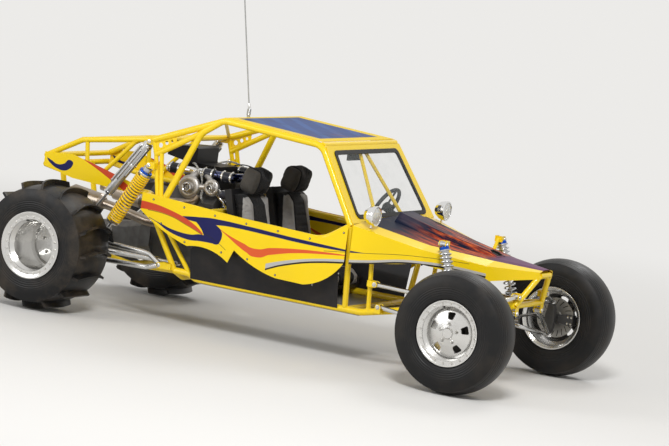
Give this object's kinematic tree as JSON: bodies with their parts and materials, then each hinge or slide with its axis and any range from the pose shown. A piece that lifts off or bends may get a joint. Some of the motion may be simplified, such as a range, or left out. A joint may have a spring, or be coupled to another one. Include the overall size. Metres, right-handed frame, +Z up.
{
  "type": "dune buggy",
  "caption": "Two-seat sand buggy: open tube frame with cage and roof, low flat nose, rear engine, smooth front tyres and scooped rear paddle tyres.",
  "frame": {"origin": "on the ground below the middle of the overall length and width", "axes": "+X forward, +Y to the car's left, +Z up; the car stands on Z = 0"},
  "size_m": [3.8374, 2, 2.7278],
  "materials": {
    "air_box_black": "black",
    "paint_yellow": "gloss bright yellow with stripes on the flanks",
    "pipe_polished": "polished",
    "panel_black": "satin black",
    "engine_alloy": "cast",
    "exhaust_steel": "heat-tinted",
    "belly_aluminium": "plain sheet",
    "arm_plating": "bright plated tube",
    "rim_polished": "polished",
    "damper_metal": "satin",
    "front_spring": "silver",
    "tyre_rubber": "black",
    "lamp_chrome": "polished",
    "headrest_cloth": "grey with black sides",
    "hood_black": "gloss black with orange and red streaks",
    "knuckle_steel": "grey",
    "mirror_black": "black",
    "boot_rubber": "black",
    "rear_spring": "yellow",
    "roof_blue": "gloss blue centre with a yellow border",
    "seat_cloth": "dark grey with light grey bolsters",
    "runner_steel": "plain",
    "seat_shell": "dark grey",
    "column_black": "satin black",
    "rack_alloy": "machined",
    "wheel_grip": "black",
    "gearbox_alloy": "cast",
    "turbo_cast": "cast with machined faces",
    "whip_fibre": "white glass-fibre",
    "screen_glass": "light tint",
    "seal_rubber": "matt black"
  },
  "bodies": {
    "chassis": {"air_box": "air_box_black", "body_frame": "paint_yellow", "cage_hoops": "paint_yellow", "charge_pipes": "pipe_polished", "dash_panel": "panel_black", "engine_bay_frame": "paint_yellow", "engine_block": "engine_alloy", "engine_side_skins": "panel_black", "exhaust": "exhaust_steel", "floor_pan": "belly_aluminium", "front_arms": "arm_plating", "front_shocks": "damper_metal", "front_springs": "front_spring", "headlamps": "lamp_chrome", "headrests": "headrest_cloth", "hood_panel": "hood_black", "lower_frame": "paint_yellow", "mirror": "mirror_black", "nose_side_panels": "paint_yellow", "rail_gussets": "paint_yellow", "rear_dampers": "damper_metal", "rear_springs": "rear_spring", "rear_trailing_arms": "arm_plating", "roll_cage": "paint_yellow", "roof_panel": "roof_blue", "seat_cushions": "seat_cloth", "seat_runners": "runner_steel", "seat_shells": "seat_shell", "side_panels": "paint_yellow", "steering_column": "column_black", "steering_rack": "rack_alloy", "suspension_tabs": "paint_yellow", "tail_frame": "paint_yellow", "tail_panels": "paint_yellow", "transaxle": "gearbox_alloy", "turbochargers": "turbo_cast", "valve_covers": "engine_alloy", "whip": "whip_fibre", "windscreen_glass": "screen_glass", "windscreen_seal": "seal_rubber", "windscreen_surround": "paint_yellow"},
    "rack": {"rack_bar": "boot_rubber"},
    "steering_wheel": {"steering_wheel": "wheel_grip"},
    "knuckle_left": {"knuckle_left": "knuckle_steel"},
    "tie_rod_left": {"tie_rod_left": "arm_plating"},
    "front_wheel_left": {"front_tyre_left": "tyre_rubber", "front_rim_left": "rim_polished"},
    "rear_wheel_left": {"rear_tyre_left": "tyre_rubber", "rear_rim_left": "rim_polished"},
    "knuckle_right": {"knuckle_right": "knuckle_steel"},
    "tie_rod_right": {"tie_rod_right": "arm_plating"},
    "front_wheel_right": {"front_tyre_right": "tyre_rubber", "front_rim_right": "rim_polished"},
    "rear_wheel_right": {"rear_tyre_right": "tyre_rubber", "rear_rim_right": "rim_polished"}
  },
  "joints": [
    {"name": "steer_left", "type": "hinge", "parent": "chassis", "child": "knuckle_left", "pos_m": [1.531, 0.66, 0.3875], "axis": [0, 0, 1], "range_deg": [-28, 28]},
    {"name": "steer_right", "type": "hinge", "parent": "chassis", "child": "knuckle_right", "pos_m": [1.531, -0.66, 0.3875], "axis": [0, 0, 1], "range_deg": [-28, 28]},
    {"name": "steering_wheel_turn", "type": "hinge", "parent": "chassis", "child": "steering_wheel", "pos_m": [0.402, 0.3, 0.96], "axis": [-0.8872, 0, 0.4614], "range_deg": [-252, 252]},
    {"name": "rack_slide", "type": "slide", "parent": "chassis", "child": "rack", "axis": [0, 1, 0], "range_m": [-0.048, 0.048]},
    {"name": "tie_rod_left_pin", "type": "hinge", "parent": "knuckle_left", "child": "tie_rod_left", "pos_m": [1.431, 0.66, 0.4], "axis": [0, 0, 1], "range_deg": [-28, 28]},
    {"name": "front_left_spin", "type": "hinge", "parent": "knuckle_left", "child": "front_wheel_left", "pos_m": [1.531, 0.785, 0.3875], "axis": [0, 1, 0], "continuous": true},
    {"name": "rear_left_spin", "type": "hinge", "parent": "chassis", "child": "rear_wheel_left", "pos_m": [-1.489, 0.8, 0.43], "axis": [0, 1, 0], "continuous": true},
    {"name": "tie_rod_right_pin", "type": "hinge", "parent": "knuckle_right", "child": "tie_rod_right", "pos_m": [1.431, -0.66, 0.4], "axis": [0, 0, 1], "range_deg": [-28, 28]},
    {"name": "front_right_spin", "type": "hinge", "parent": "knuckle_right", "child": "front_wheel_right", "pos_m": [1.531, -0.785, 0.3875], "axis": [0, 1, 0], "continuous": true},
    {"name": "rear_right_spin", "type": "hinge", "parent": "chassis", "child": "rear_wheel_right", "pos_m": [-1.489, -0.8, 0.43], "axis": [0, 1, 0], "continuous": true}
  ],
  "couplings": [
    {"joint": "steer_right", "follows": "steer_left", "ratio": 1},
    {"joint": "steering_wheel_turn", "follows": "steer_left", "ratio": 9},
    {"joint": "rack_slide", "follows": "steer_left", "m_per_rad": -0.096},
    {"joint": "tie_rod_left_pin", "follows": "steer_left", "ratio": -1},
    {"joint": "tie_rod_right_pin", "follows": "steer_left", "ratio": -1}
  ]
}
